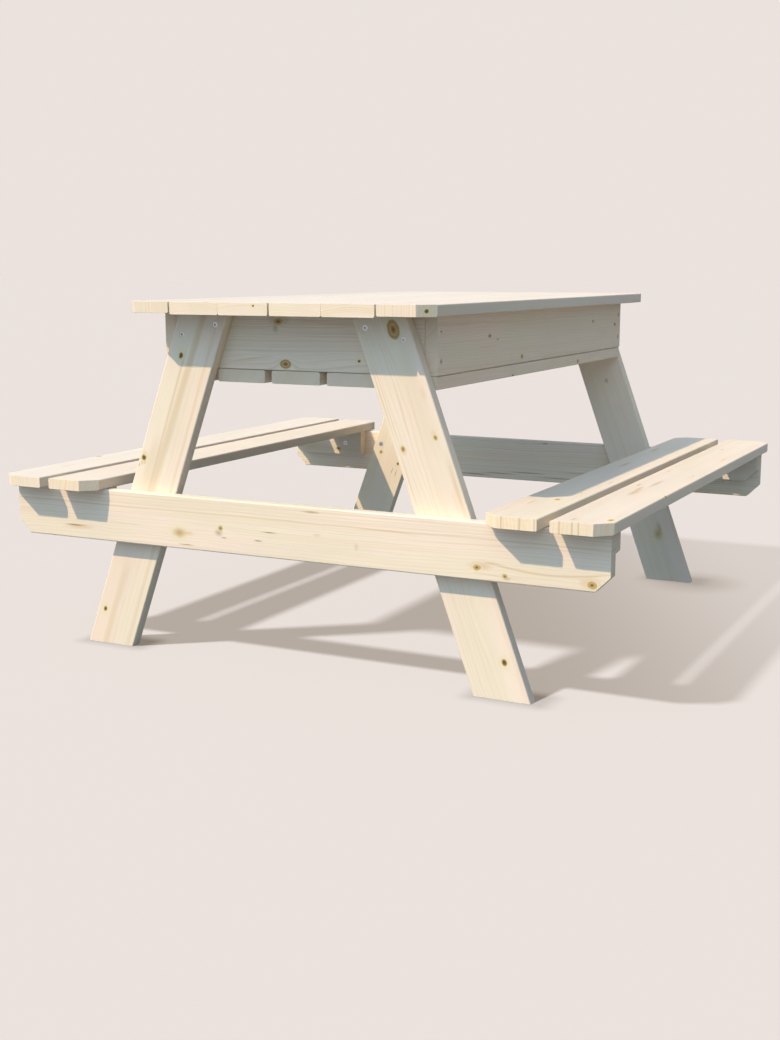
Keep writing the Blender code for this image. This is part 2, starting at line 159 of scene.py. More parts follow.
class Finish:
    """A material or world made of nodes."""

    def __init__(self, owner):
        self.owner = owner
        owner.use_nodes = True
        self.tree = owner.node_tree
        self.tree.nodes.clear()

    def node(self, kind, settings=None, inputs=None, output=0):
        """Add a node: its settings first, then the values or links of its sockets."""
        made = self.tree.nodes.new(kind)
        for name, setting in (settings or {}).items():
            setattr(made, name, setting)
        for name, value in (inputs or {}).items():
            if isinstance(value, Value):
                self.tree.links.new(value.socket, made.inputs[name])
            else:
                made.inputs[name].default_value = value
        return Value(self, made.outputs[output]) if len(made.outputs) else made

    def vector(self, operation, *values, output=0):
        return self.node("ShaderNodeVectorMath", {"operation": operation}, dict(enumerate(values)), output)

    def dot(self, first, second):
        return self.vector("DOT_PRODUCT", first, second, output="Value")

    def split(self, vector):
        """The three numbers of a vector."""
        parts = self.node("ShaderNodeSeparateXYZ", None, {0: vector})
        return [Value(self, socket) for socket in parts.socket.node.outputs]

    def scaled(self, vector, factor):
        return self.node("ShaderNodeVectorMath", {"operation": "SCALE"}, {0: vector, "Scale": factor})

    def mix(self, first, second, share):
        """A colour between two colours."""
        tones = {6: first, 7: second}
        tones = {n: c if isinstance(c, Value) else (*c, 1) for n, c in tones.items()}
        return self.node("ShaderNodeMix", {"data_type": "RGBA"}, {0: share, **tones}, output=2)

    def noise(self, place, lengths, seed, detail=2.0):
        """Noise around 0.5 whose cells are as long as lengths says."""
        shift = (seed * 7.31 % 97, seed * 3.77 % 89, seed * 5.13 % 83)
        spot = self.vector("MULTIPLY_ADD", place, tuple(1 / n for n in lengths), shift)
        return self.node("ShaderNodeTexNoise", None, {"Vector": spot, "Scale": 1.0, "Detail": detail})

    def cloud(self, x, y, z, detail):
        """Noise around 0.5 over three numbers, with cells about 1 long."""
        spot = self.node("ShaderNodeCombineXYZ", None, {0: x, 1: y, 2: z})
        return self.node("ShaderNodeTexNoise", None, {"Vector": spot, "Scale": 1.0, "Detail": detail})

    def surface(self, shader):
        self.node("ShaderNodeOutputMaterial", None, {"Surface": shader})


# Wood. Lengths in its tables are in millimetres, along and across each board from its middle.

class Knot(NamedTuple):
    """A knot or mark: its kind, its middle, its half sizes, its share of the colour, and how deep it lies."""
    kind: str
    along: float
    across: float
    long_half: float
    wide_half: float
    share: float = 1.0
    depth: float = 0.0
    deep_half: float = 80.0


class Stripe(NamedTuple):
    """A darker band along the grain: its middle, half width and strength, its start and end, and how it runs."""
    across: float
    half: float
    strength: float
    low: float = None
    high: float = None
    lean: float = 0.0
    bend: float = 0.0


class Grain(NamedTuple):
    """How one board grew: where its pith lies, how wide its rings are, and its stripes and knots in plain rows."""
    pith: tuple = (90, -50)
    ring: float = 2.5
    honey: float = 0.25
    lines: float = 0.35
    stripes: tuple = ()
    knots: tuple = ()
    wander: float = 5.0
    lean: float = 0.004
    wave: float = 0.7
    tint: tuple = (1, 1, 1)


KNOT_STRENGTH = {"pin": 1.0, "small": 0.92, "big": 0.95, "blur": 0.60}
KNOT_HEART = {"pin": (0.40, 1.0), "small": (0.15, 0.62), "big": (0.10, 0.52), "blur": (0.0, 0.5)}
KNOT_RIM = {"pin": 0.0, "small": 0.45, "big": 0.50, "blur": 0.0}
KNOT_ROUGH = {"big": 0.30}
ROUGH = 0.68
KNOT_HALO = {"pin": 3.0, "small": 2.2, "big": 1.6, "blur": 2.0}
KNOT_EDGE, BLUR_EDGE, MARK_EDGE = (0.8, 1.08), (0.3, 1.15), (0.1, 1.15)
RIM_PLACE, RIM_EDGE = 0.95, (0.02, 0.13)
HEART_TURNS = 2.6
STRIPE_TONE = (0.650, 0.480, 0.270)
STRIPE_FADE = 22
MARKS = {"smear": ((0.45, 0.335, 0.20), 0.75), "rose": ((0.69, 0.46, 0.26), 0.70),
         "line": ((0.52, 0.34, 0.18), 0.60), "fleck": ((0.30, 0.17, 0.09), 0.85)}

GRAINS = {
    "leg_front_left": Grain(
        pith=(22, -45), ring=5.2, lines=0.5, wave=1.0,
        stripes=(
            (7.8, 2, 0.6, -25, 195, 0.01), (2.6, 5.6, 0.62, -30, 300, -0.022), (8.6, 5.5, 0.45, -300, -130),
            (3, 3, 0.22, -180, -130), (15, 9, 0.34, -20, 60), (-27, 4, 0.15), (-8, 14, 0.14, 60, 180)),
        knots=(
            ("pin", 190.3, 15.3, 5, 3.7), ("pin", 30.4, 29.4, 4.4, 3.9), ("rose", 31, 29, 12, 6),
            ("fleck", 17.3, 33.8, 4, 1.8, 0.6), ("fleck", 21.6, 30, 3, 1.8, 0.6),
            ("fleck", 24.4, 25.8, 3.6, 1.5, 0.6), ("pin", -210.7, 24.4, 4, 3.2))),
    "leg_front_right": Grain(
        pith=(-25, -55), ring=2.9, honey=0.15, lines=0.50, lean=0.003, wave=1.2,
        stripes=(
            (31, 1, 0.5, 118, 205, 0.006), (26.2, 1, 0.4, 98, 205, 0.008), (30, 1, 0.45, 20, 80, -0.004),
            (8.6, 1.2, 0.35, 95, 165), (-4.5, 1.5, 0.25, 95, 160, -0.02), (-33.5, 3, 0.2, -260, 60),
            (-30.5, 3.4, 0.42, -20, 55), (-17, 13, 0.22, 70, 200)),
        knots=(
            ("big", 235, -14.3, 12.9, 8.3), ("small", 87.3, 24.4, 3.8, 3), ("small", 88, -24.3, 3.4, 2.6),
            ("pin", -210.5, -20.3, 4.8, 4), ("rose", 14, -30.2, 36, 3.2, 0.4), ("rose", 2, -23.5, 20, 2.4, 0.4),
            ("rose", 92, -24, 9, 5, 0.6), ("rose", 146, -27, 12, 5, 0.45), ("rose", 86, 24, 8, 5))),
    # Its tint lightens this leg all over, as painted light for the shade it stands in.
    "leg_back_left": Grain(
        pith=(-75, 60), ring=2.8, lines=0.25, tint=(1.06, 1.06, 1.03),
        knots=(
            ("small", -55.2, -19.3, 3.4, 2.8), ("fleck", -81.6, 23.5, 10, 1), ("fleck", -80, 14.5, 9, 0.9),
            ("pin", -62.5, 21.5, 3, 2.4), ("pin", 150, 12, 2.5, 2))),
    # Its tint lightens this leg all over, as painted light for the shade it stands in.
    "leg_back_right": Grain(
        pith=(-85, 60), ring=2.6, honey=0.3, tint=(1.06, 1.05, 1.04),
        knots=(("blur", -172, 8.5, 12, 9), ("smear", -163, 14, 14, 5), ("smear", 113, 3.5, 6, 4))),
    "beam_front": Grain(
        pith=(-70, -42), ring=3.4, honey=0.2, lines=0.52, wave=1.3,
        stripes=(
            (16, 1.3, 0.45), (15.5, 1.5, 0.5, 118, 190, 0.0, -0.0012), (31, 1, 0.3), (21.5, 0.9, 0.25),
            (26, 0.8, 0.2), (8, 0.9, 0.15), (-21.4, 1.4, 0.7, 300, 452, 0.0, 0.0013),
            (-13.5, 1.2, 0.35, 285, 345, -0.05), (-9.3, 1.2, 0.4, -292, -240), (0, 2.4, 0.3, -460, -436)),
        knots=(
            ("blur", -169, -14.5, 13, 8), ("smear", -170, -15, 13, 7, 0.5), ("rose", -154, -14, 10, 4),
            ("small", -100.8, -2.6, 3.6, 3.3), ("smear", -104, -9, 8, 6), ("fleck", -95.6, -15.6, 6, 1.1),
            ("fleck", -40.7, -15, 9, 1.3), ("fleck", -22, -2.2, 14, 1.2), ("line", 41, 30.9, 18, 2.2),
            ("smear", 44, 31, 13, 1.8), ("fleck", -352, -18.4, 21, 1.5), ("rose", -346, -19.5, 32, 4.5),
            ("fleck", -158, -30.5, 15, 1.1), ("smear", 110, -10, 4, 6, 0.4), ("smear", 51, 0.5, 8, 3, 0.4),
            ("small", 281, -20.8, 5, 3.6), ("rose", 286, -18, 20, 7), ("small", 319, -28.5, 3.4, 2.8),
            ("smear", 322, -31, 6, 3), ("small", 432, -28.4, 5.8, 4.4), ("rose", 430, -26, 16, 9),
            ("rose", 300, -13.5, 18, 2))),
    # Its tint lightens this beam all over, a little bluer, as painted light for the shade it stands in.
    "beam_back": Grain(
        pith=(-75, 45), ring=3.2, honey=0.5, lines=0.9, wander=8, wave=1.2, tint=(1.08, 1.09, 1.11),
        stripes=((16, 0.9, 0.5, None, None, 0.006), (4, 0.9, 0.3)),
        knots=(
            ("small", -150, 12, 4, 3.2), ("pin", 210, 22, 2.6, 2.2), ("fleck", -22, 27, 52, 1.3),
            ("fleck", 34, 23, 46, 1.2), ("fleck", -70, 31, 40, 1.5), ("fleck", 96, 29.5, 52, 1),
            ("line", 150, 18, 60, 1.3), ("fleck", 68, -33, 8, 1.2))),
    "apron_front": Grain(
        pith=(-60, -45), ring=3.7, honey=0.2, lines=0.80, wander=6, wave=1.8,
        stripes=(
            (-14.15, 1, 0.6, -102, -50, 0.125), (-18.5, 0.9, 0.4, -98, -58, 0.1), (25.3, 1, 0.5, 36, 100),
            (28.5, 3, 0.25, -10, 100), (14, 1, 0.35, -10, 100), (10, 0.9, 0.3, 4, 100), (18, 0.9, 0.35, -110, -40),
            (-6, 0.9, 0.25, -110, -20)),
        knots=(
            ("small", -25.7, 28.2, 6.6, 4), ("smear", -25, 29, 19, 7.5), ("smear", -30, 19.5, 5.5, 8, 0.8),
            ("big", -15, -28.2, 8.6, 6), ("pin", 96.4, -21, 2.4, 2))),
    "apron_right": Grain(
        pith=(70, -50), ring=3.0, honey=0.2, lines=0.75, wander=4, wave=1.6,
        stripes=((-7.6, 0.9, 0.35, -245, -185), (-9.5, 0.9, 0.45, 280, 314)),
        knots=(
            ("small", -208.4, 6, 5.4, 2.6), ("blur", -179.5, 0, 5.5, 2.6), ("small", -86.4, -28.9, 4.6, 3.3),
            ("small", 231.7, 11.3, 4.6, 2.4), ("small", 349.3, 2.2, 5.8, 3))),
    "apron_left": Grain(
        pith=(-95, -50), ring=2.4, honey=0.3, lines=0.4,
        knots=(("big", 120, 14, 7.5, 6), ("small", -190, -18, 3.8, 3))),
    "apron_back": Grain(
        pith=(-60, -55), ring=2.6, honey=0.3, lines=0.5,
        knots=(("small", -70, 10, 4.2, 3.4), ("pin", 110, -20, 2.6, 2))),
    "seat_right_outer_plank": Grain(
        pith=(-120, -12), ring=5.2, lines=0.65, wave=1.2, tint=(1.04, 1.01, 0.97),
        stripes=((23, 3, 0.25), (-8, 1.4, 0.2), (-30, 2, 0.2)),
        knots=(
            ("small", -412, -27.6, 6.6, 4.2), ("smear", -424, 14.7, 11, 3.4), ("rose", -427, 9, 14, 4.5),
            ("line", -447, 25, 5, 1.3), ("line", -447, 9, 6, 1.5), ("line", -447, 1, 5, 1.5),
            ("smear", -194, 9.5, 34, 6.5), ("smear", -165, 13, 26, 4), ("smear", -129, 23, 14, 3),
            ("fleck", -129, 23.4, 5, 1.3), ("smear", -107, 4.5, 46, 4.6), ("rose", -180, 7, 44, 8, 0.45),
            ("line", -192, 11, 32, 1.8), ("line", -158, 13.5, 24, 1.6), ("rose", -22, -22, 32, 3.6, 0.6),
            ("fleck", -12, -22, 8, 1), ("smear", 18, 22, 16, 1.6), ("rose", 178, -19.5, 30, 2.6),
            ("fleck", 182, -19.8, 13, 1), ("smear", 305, 12, 14, 3), ("pin", -207.7, -37, 2.6, 3, 1.0, 6.5, 3))),
    "seat_right_inner_plank": Grain(
        pith=(125, -16), ring=5.6, lines=0.65, wave=1.2, tint=(1.08, 1.05, 1.0),
        stripes=((-24, 2, 0.35), (6, 1.5, 0.2), (24, 4, 0.15)),
        knots=(
            ("small", -297, -8.8, 6.4, 3.4), ("rose", -294, -9, 15, 5), ("smear", -330, 14, 22, 2),
            ("line", -447, -15, 7, 2), ("line", -447, 9, 5, 1.4), ("line", -447, -34, 5, 1.4),
            ("fleck", -231.6, -19.5, 4, 1.4), ("rose", 159, -17.8, 12, 2.2), ("smear", -130, -26, 20, 1.6),
            ("smear", 60, 12, 40, 4), ("smear", 250, 20, 30, 4))),
    "seat_left_outer_plank": Grain(
        pith=(120, -14), ring=5.4, lines=0.55,
        stripes=((12, 2, 0.2), (-14, 3, 0.15)),
        knots=(("small", -224, 31, 7, 4), ("smear", 60, -14, 14, 1.6), ("smear", -330, 8, 20, 2))),
    "seat_left_inner_plank": Grain(
        pith=(-115, -20), ring=5.0, lines=0.55, tint=(1.0, 0.985, 0.95),
        stripes=((16, 3, 0.25), (-2, 2, 0.15)),
        # The first mark, at the plank's edge by the gap, is a dark spot drawn in the small-knot pattern.
        knots=(("small", 123, 34, 6, 3.4), ("pin", -80, -20, 2.4, 2), ("smear", -300, -6, 24, 1.6))),
    "top_plank_left": Grain(
        pith=(110, 0), ring=3.0, lines=0.8, tint=(0.95, 0.98, 0.99),
        stripes=((-30, 3, 0.3), (-16, 1.2, 0.25), (-4, 1.2, 0.2)),
        knots=(("small", 96, 6, 4, 3), ("pin", -230, -18, 2.6, 2))),
    "top_plank_right": Grain(
        pith=(-110, 0), ring=3.4, lines=1.0,
        knots=(
            ("small", -160, -12, 3.8, 3), ("small", 240, 16, 3.6, 2.8),
            ("pin", -437, -27, 3.4, 3.2, 1.0, -0.5, 2.8))),
    "floor_board_5": Grain(
        pith=(40, -55), ring=2.7, honey=0.3, lines=0.45,
        knots=(("small", 163, -37.2, 4.2, 2.4, 1.0, -2.8, 2.8), ("pin", -118, -37.2, 3.4, 2.4, 1.0, -7.5, 2))),
    "lid_left_outer_board": Grain(
        pith=(10, -200), ring=3.2, lines=0.6,
        knots=(("small", -60, 14, 4.2, 3.2), ("pin", 280, -20, 2.6, 2), ("line", -380, 10, 24, 1.4))),
    "lid_left_inner_board": Grain(
        pith=(-14, -190), ring=3.4, lines=0.6,
        knots=(
            ("pin", -446, -16.8, 6, 1.7, 1.0, 4.3, 1.6), ("small", 130, 8, 4, 3.2), ("rose", -268, 30, 30, 2),
            ("rose", 0, 32, 40, 2.4))),
    "lid_right_inner_board": Grain(
        pith=(14, -210), ring=3.0, lines=0.6,
        knots=(("line", -219, -12.3, 24, 1.3), ("line", -168, -12.3, 30, 1.3), ("small", 60, -18, 4.4, 3.4))),
    "lid_right_outer_board": Grain(
        pith=(-16, -180), ring=3.6, lines=0.85, honey=0.4,
        knots=(("small", -320, 10, 3.8, 2.8), ("small", 210, 22, 4, 3), ("line", -101, 8, 30, 1.4))),
}


def other_grain(order):
    """A grain for a board that the photograph hardly shows, the same on each run."""
    draw = random.Random(order * 101 + 7)
    knots = [("small", draw.uniform(-320, 320), draw.uniform(-26, 26), draw.uniform(2.6, 5), draw.uniform(2, 4))
             for _ in range(draw.choice((1, 2, 2)))]
    return Grain(
        pith=(draw.choice((-1, 1)) * draw.uniform(20, 110), draw.choice((-1, 1)) * draw.uniform(40, 70)),
        ring=draw.uniform(2.3, 3.2), honey=draw.uniform(0.2, 0.45), lines=draw.uniform(0.35, 0.55),
        knots=knots)


BLUSH = (1.020, 0.985, 0.965)
OLIVE = (0.982, 0.988, 0.930)
# Painted light: a plank's ends and sides are made lighter than its darkened top and bottom.
PLANK_END_PAINTED_LIGHT = (1.285, 1.200, 1.045)
PLANK_SIDE_PAINTED_LIGHT = (1.080, 1.035, 0.965)
BOARD_END = (0.95, 0.92, 0.88)
# Painted shade: the upward faces of the other boards are made darker and a little bluer, for the strong light on
# them.
BOARD_TOP_PAINTED_SHADE = (0.830, 0.910, 1.020)
SHOWS_FLAT, SHOWS_BOARD = 0.38, 0.62
CUT_TURN, FLAT_TURN, SLOPE_TURN = (0.3, 0.85), (0.5, 0.9), (0.12, 0.5)
RING_RISE, RING_FALL, VIGOUR = (0.25, 0.9), (0.93, 1.0), (0.35, 0.65)
HONEY_TURN, BLUSH_TURN = (0.46, 0.70), (0.38, 0.62)
STREAK_TURN, TICK_TURN = (0.56, 0.80), (0.60, 0.80)
SEASON_CELL, BAND_CELL = (13, 900), (9, 520)
FAR = 4000
WAVER = (150, FAR, FAR)
# Each noise's step from the board's seed, the lengths of its cells and its detail.
NOISES = {
    "drift": (1, (430, FAR, FAR), 1), "sink": (2, (380, FAR, FAR), 1), "ripple": (3, (110, 17, 17), 2),
    "shiver": (4, (26, 5, 5), 1), "patch": (5, (170, 34, 34), 2), "fibre": (6, (34, 0.55, 0.55), 3),
    "streak": (7, (120, 1.6, 1.6), 2), "tick": (9, (13, 0.8, 0.8), 2), "blush": (10, (230, 46, 46), 2),
}


def most(first, second):
    """The larger of two masks, either of which may be missing."""
    return second if first is None else first.maths("MAXIMUM", first, second)


def knot_marks(wood, place, knots, seed):
    """The knots' masks by name, and how far they push the rings aside."""
    masks = dict.fromkeys(("body", "halo", "dark", *MARKS))
    push = None
    for number, knot in enumerate(Knot(*row) for row in knots):
        offset = wood.vector("SUBTRACT", place, (knot.along, knot.across, knot.depth))
        halves = (knot.long_half, knot.wide_half, knot.deep_half)
        offset = wood.vector("MULTIPLY", offset, tuple(1 / n for n in halves))
        rough = wood.noise(place, (6, 3, 8), seed + number * 1.7, 3)
        uneven = KNOT_ROUGH.get(knot.kind, ROUGH)
        reach = wood.vector("LENGTH", offset, output="Value") * (1 - uneven / 2 + rough * uneven)
        if knot.kind in MARKS:
            masks[knot.kind] = most(masks[knot.kind], (1 - reach.smooth(*MARK_EDGE)) * knot.share)
            continue
        strength = KNOT_STRENGTH[knot.kind]
        blurred = knot.kind == "blur"
        body = (1 - reach.smooth(*(BLUR_EDGE if blurred else KNOT_EDGE))) * strength
        masks["body"] = most(masks["body"], body)
        dark = (1 - reach.smooth(*KNOT_HEART[knot.kind])) * (strength * (0.5 if blurred else 1.0))
        if KNOT_RIM[knot.kind]:
            dark = most(dark, (1 - abs(reach - RIM_PLACE).smooth(*RIM_EDGE)) * (KNOT_RIM[knot.kind] * strength))
        if knot.kind == "big":
            turns = reach * HEART_TURNS
            dark = most(dark, body * abs(turns.maths("FRACT", turns) - 0.5).smooth(0.15, 0.45) * 0.52)
        masks["dark"] = most(masks["dark"], dark)
        masks["halo"] = most(masks["halo"], (1 - reach.smooth(RIM_PLACE, KNOT_HALO[knot.kind])) * strength)
        if not blurred:
            square = reach * reach * -0.4
            bump = square.maths("EXPONENT", square) * (knot.wide_half * strength)
            push = bump if push is None else push + bump
    return masks, push


def wood_finish(name, grain, seed, centre, turn, planks):
    """Planed spruce cut from one log: growth rings round its pith, bands, fibres and knots."""
    settings = bpy.context.scene.table_wood
    tint = Vector(grain.tint)
    pale = Vector(settings.plank_pale if planks else settings.pale) * tint
    honey = Vector(settings.plank_honey if planks else settings.honey) * tint
    late = Vector(settings.late) * tint
    wood = Finish(bpy.data.materials.new(name))
    whole = wood.node("ShaderNodeTexCoord", output="Object")
    place = wood.node(
        "ShaderNodeMapping", {"vector_type": "TEXTURE"},
        {"Vector": whole, "Location": centre, "Rotation": turn.to_euler(), "Scale": (MM, MM, MM)})
    along, across, depth = wood.split(place)

    def noise(kind):
        step, lengths, detail = NOISES[kind]
        return wood.noise(place, lengths, seed + step, detail)

    drift = noise("drift") - 0.5
    sink = noise("sink") - 0.5
    side = across - grain.pith[0] + drift * (grain.wander * 2) + along * grain.lean
    below = depth - grain.pith[1] + sink * (grain.wander * 2.4) - along * (grain.lean * 1.4)
    ripple = noise("ripple") - 0.5
    shiver = noise("shiver") - 0.5
    radius = side * side + below * below
    radius = radius.maths("SQRT", radius) + ripple * (4.5 * grain.wave) + shiver * 0.6

    masks, push = knot_marks(wood, place, grain.knots, seed + 20)
    if push is not None:
        radius = radius - push

    facing = wood.node("ShaderNodeTexCoord", output="Normal")
    cut = abs(wood.dot(facing, tuple(turn.col[0]))).smooth(*CUT_TURN)
    flat = abs(wood.dot(facing, tuple(turn.col[2]))).smooth(*FLAT_TURN)
    slope = abs(side / radius).smooth(*SLOPE_TURN)

    season = wood.cloud(radius / SEASON_CELL[0], along / SEASON_CELL[1], seed * 1.37, 1)
    turns = radius / grain.ring + season * 3.0
    phase = turns.maths("FRACT", turns)
    count = turns.maths("FLOOR", turns)
    vigour = 0.3 + wood.cloud(count * 0.83, seed * 0.71, 0, 1).smooth(*VIGOUR) * 0.7
    ring = phase.smooth(*RING_RISE) * (1 - phase.smooth(*RING_FALL)) * vigour
    ring = ring * slope.maths("MAXIMUM", slope, cut)
    band = wood.cloud(radius / BAND_CELL[0], along / BAND_CELL[1], seed * 2.91, 2)
    patch, fibre, streak = noise("patch"), noise("fibre"), noise("streak")
    tick, blush = noise("tick"), noise("blush")

    tone = wood.mix(pale, honey, band.smooth(*HONEY_TURN) * grain.honey)
    tone = wood.vector("MULTIPLY", tone, wood.mix(OLIVE, BLUSH, blush.smooth(*BLUSH_TURN)))
    for stripe in (Stripe(*row) for row in grain.stripes):
        waver = wood.noise(place, WAVER, seed + 8 + stripe.across * 0.13, 2) - 0.5
        away = across + waver * 4 + ripple * 2.5 - stripe.across - along * stripe.lean
        if stripe.bend:
            past = along - (stripe.low + stripe.high) / 2
            away = away - past * past * stripe.bend
        mask = (1 - abs(away / stripe.half).smooth(0.2, 1.5)) * (patch * 0.9 + 0.5)
        if stripe.low is not None:
            mask = mask * along.smooth(stripe.low - STRIPE_FADE, stripe.low + STRIPE_FADE)
            mask = mask * (1 - along.smooth(stripe.high - STRIPE_FADE, stripe.high + STRIPE_FADE))
        tone = wood.mix(tone, Vector(STRIPE_TONE) * tint, mask * stripe.strength)
    shows = SHOWS_FLAT + cut * (1 - SHOWS_FLAT) if planks else SHOWS_BOARD
    tone = wood.mix(tone, late, ring * (patch * 0.9 + 0.25) * grain.lines * shows)
    tone = wood.mix(tone, late, streak.smooth(*STREAK_TURN) * 0.16)
    tone = wood.mix(tone, late, tick.smooth(*TICK_TURN) * 0.14)
    tone = wood.scaled(tone, 0.87 + fibre * 0.12 + patch * 0.14)
    # Planks: the sides and ends take painted light over the tone that the top and bottom show.
    if planks:
        edge = wood.vector("MULTIPLY", tone, wood.mix(PLANK_SIDE_PAINTED_LIGHT, PLANK_END_PAINTED_LIGHT, cut))
        tone = wood.mix(edge, tone, flat)
    else:
        tone = wood.mix(tone, wood.vector("MULTIPLY", tone, BOARD_END), cut)
        # Upward faces take painted shade.
        painted_top_shade = wood.dot(facing, tuple(Z_AXIS)).smooth(*FLAT_TURN)
        tone = wood.mix(tone, wood.vector("MULTIPLY", tone, BOARD_TOP_PAINTED_SHADE), painted_top_shade)

    coats = {**MARKS, "halo": (settings.halo, 0.60), "body": (settings.knot, 0.9), "dark": (settings.knot_rim, 0.9)}
    for kind, (paint, share) in coats.items():
        if masks[kind] is not None:
            tone = wood.mix(tone, paint, masks[kind] * share)

    height = ring * 0.5 + fibre * 0.6
    if masks["dark"] is not None:
        height = height - masks["dark"] * 0.8
    bump = wood.node(
        "ShaderNodeBump", None, {"Strength": 0.6, "Distance": settings.relief, "Height": height})
    gloss = (0.44 if planks else 0.58) + fibre * 0.16 - ring * 0.06 + cut * 0.12
    wood.surface(wood.node("ShaderNodeBsdfPrincipled", None, {
        "Base Color": tone, "Roughness": gloss, "Normal": bump, "IOR": 1.45}))
    return wood.owner


def zinc_finish(name, level=(1, 1, 1)):
    """Zinc plating, bluish and a little mottled."""
    settings = bpy.context.scene.table_screws
    zinc = Finish(bpy.data.materials.new(name))
    place = zinc.node("ShaderNodeTexCoord", output="Object")
    cloud = zinc.noise(place, (0.0016, 0.0016, 0.0016), 3, 3)
    # A level below one darkens the plate, as painted shade.
    plate = Vector(settings.zinc) * Vector(level)
    tone = zinc.mix(plate * 0.86, plate, cloud)
    bump = zinc.node("ShaderNodeBump", None, {"Strength": 0.3, "Distance": 0.00004, "Height": cloud})
    zinc.surface(zinc.node("ShaderNodeBsdfPrincipled", None, {
        "Base Color": tone, "Metallic": 1.0, "Roughness": 0.30 + cloud * 0.22, "Normal": bump}))
    return zinc.owner


# Boards.

def board_ways(node):
    """A board's directions as a matrix: along its grain, across it, and out of its show face."""
    words = node.split("_")
    left = -1 if "left" in words else 1
    front = -1 if "front" in words else 1
    if words[0] == "leg":
        grain, face = Vector((-left * sin(LEG_TILT), 0, cos(LEG_TILT))), Y_AXIS * front
    elif words[0] == "beam" or node in ("apron_front", "apron_back") or node.startswith("seat_batten"):
        grain, face = X_AXIS, Y_AXIS * front
    elif words[0] == "apron" or node.startswith("top_cleat"):
        grain, face = Y_AXIS, X_AXIS * left
    elif node.endswith("batten"):
        grain, face = X_AXIS, Z_AXIS
    else:
        grain, face = Y_AXIS, Z_AXIS
    return Matrix((grain, face.cross(grain), face)).transposed()


def added(name, data):
    """A new object in the scene."""
    thing = bpy.data.objects.new(name, data)
    bpy.context.scene.collection.objects.link(thing)
    return thing


def mesh_of(bm, name):
    """A new mesh from a bmesh that is done with."""
    mesh = bpy.data.meshes.new(name)
    bm.to_mesh(mesh)
    bm.free()
    return mesh


def link(mesh, name, finish, body):
    """Make a mesh a piece of the table."""
    piece = added(name, mesh)
    mesh.materials.clear()
    mesh.materials.append(finish)
    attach(piece, body)
    return piece


CUT_FACING = 0.5
LEAST_CUT = 1e-4
FLAT = radians(0.5)
SHARP = radians(50)
EASED = radians(30)
LID_JOINT = 0.0774
JOINT_REACH = 0.0003
JOINT_CLOSE = 0.00012


def close_joint(bm):
    """Press the two boards of a lid together, so that their joint hardly shows."""
    for side in (-1, 1):
        for inward in (-1, 1):
            edge = [vert for vert in bm.verts
                    if 0 < (side * vert.co.x - LID_JOINT) * inward < JOINT_REACH]
            bmesh.ops.translate(bm, vec=(-side * inward * JOINT_CLOSE, 0, 0), verts=edge)


def merged(bm):
    """Join loose corners and melt flat triangles into whole faces."""
    bmesh.ops.remove_doubles(bm, verts=bm.verts, dist=WELD)
    bmesh.ops.dissolve_limit(bm, angle_limit=FLAT, verts=bm.verts, edges=bm.edges)


def drilled(mesh, screws):
    """The mesh less the pockets of its screws."""
    cutter = added("pockets", screw_group("pockets", screws, POCKET_ROOM))
    host = added("host", mesh)
    tool = host.modifiers.new("Pockets", "BOOLEAN")
    tool.operation, tool.solver, tool.object = "DIFFERENCE", "EXACT", cutter
    result = bpy.data.meshes.new_from_object(host.evaluated_get(bpy.context.evaluated_depsgraph_get()))
    for piece in (cutter, host):
        bpy.data.objects.remove(piece)
    return result


def shade_smooth(bm, sharp):
    """Shade smooth, apart from edges that turn by more than sharp."""
    for face in bm.faces:
        face.smooth = True
    for edge in bm.edges:
        edge.smooth = edge.calc_face_angle(0) < sharp


def dress_board(node, slot, planks=False):
    """A merged copy of a CAD board with eased sawn ends, screw pockets and its own grain."""
    settings = bpy.context.scene.table_wood
    ways = board_ways(node)
    grain_way = ways.col[0]
    low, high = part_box(node)
    bm = bmesh.new()
    bm.from_mesh(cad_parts[node].data)
    merged(bm)
    if node.startswith("lid") and node.endswith("board"):
        close_joint(bm)
    mesh = bpy.data.meshes.new(node + "_wood")
    screws = [] if slot == "legs" else [screw for screw in hidden_screws() if reaches(screw, low, high)]
    if screws:
        bm.to_mesh(mesh)
        bm.clear()
        bm.from_mesh(drilled(mesh, screws))
        merged(bm)
    cuts = {face for face in bm.faces
            if abs(face.normal.dot(grain_way)) > CUT_FACING and face.calc_area() > LEAST_CUT}
    edges = [edge for edge in bm.edges
             if any(face in cuts for face in edge.link_faces) and edge.calc_face_angle(0) > EASED]
    bmesh.ops.bevel(
        bm, geom=edges, offset=settings.ease, offset_type="OFFSET", affect="EDGES", segments=2, profile=0.5,
        material=-1, clamp_overlap=True)
    bmesh.ops.recalc_face_normals(bm, faces=bm.faces)
    shade_smooth(bm, SHARP)
    bm.to_mesh(mesh)
    bm.free()
    order = sorted(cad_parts).index(node)
    grain = GRAINS.get(node) or other_grain(order)
    finish = wood_finish("wood " + node.replace("_", " "), grain, order * 2.63 + 1, (low + high) / 2, ways, planks)
    body = next((body for body in ("lid_left", "lid_right") if node.startswith(body)), "table_frame")
    piece = link(mesh, node + "_wood", finish, body)
    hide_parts(node)
    piece.modifiers.new("Even shading", "WEIGHTED_NORMAL").keep_sharp = True


def dress_boards(slot, test, planks=False):
    """Dress every CAD board whose name passes the test."""
    chosen = [node for node in sorted(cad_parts) if test(node)]
    if not chosen:
        raise RuntimeError(f"no board was found for {slot}")
    for node in chosen:
        dress_board(node, slot, planks)
    return {"FINISHED"}


class TopPlanks(bpy.types.Operator):
    """Make the two fixed planks of the tabletop"""
    bl_idname = "picnic_table.top_planks"
    bl_label = "Top planks"

    def execute(self, context):
        return dress_boards("top_planks", lambda node: node.startswith("top_plank"), True)


